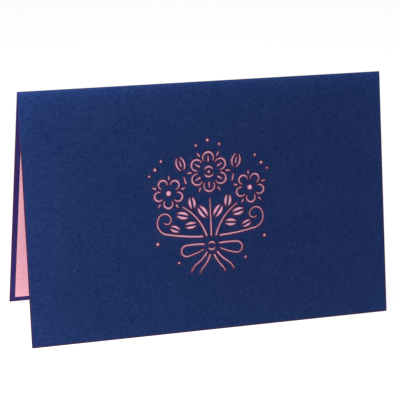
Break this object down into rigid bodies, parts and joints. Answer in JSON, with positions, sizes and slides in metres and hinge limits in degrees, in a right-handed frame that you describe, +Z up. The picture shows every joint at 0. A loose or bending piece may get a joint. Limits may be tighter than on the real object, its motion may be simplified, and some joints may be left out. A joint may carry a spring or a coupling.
{
  "type": "folded greeting card",
  "caption": "Folded card that stands like a tent: navy cover with a flower ornament cut through its front, over a pink liner.",
  "frame": {"origin": "on the table that the card stands on, under the middle of its fold", "axes": "+X along the fold, to the right when the cut front panel is seen; the front panel faces -Y and the plain back panel +Y; +Z up"},
  "size_m": [0.15, 0.0474, 0.097],
  "materials": {
    "navy_card": "satin",
    "pink_paper": "satin"
  },
  "bodies": {
    "root": {"cover": "navy_card", "liner": "pink_paper"}
  },
  "joints": []
}
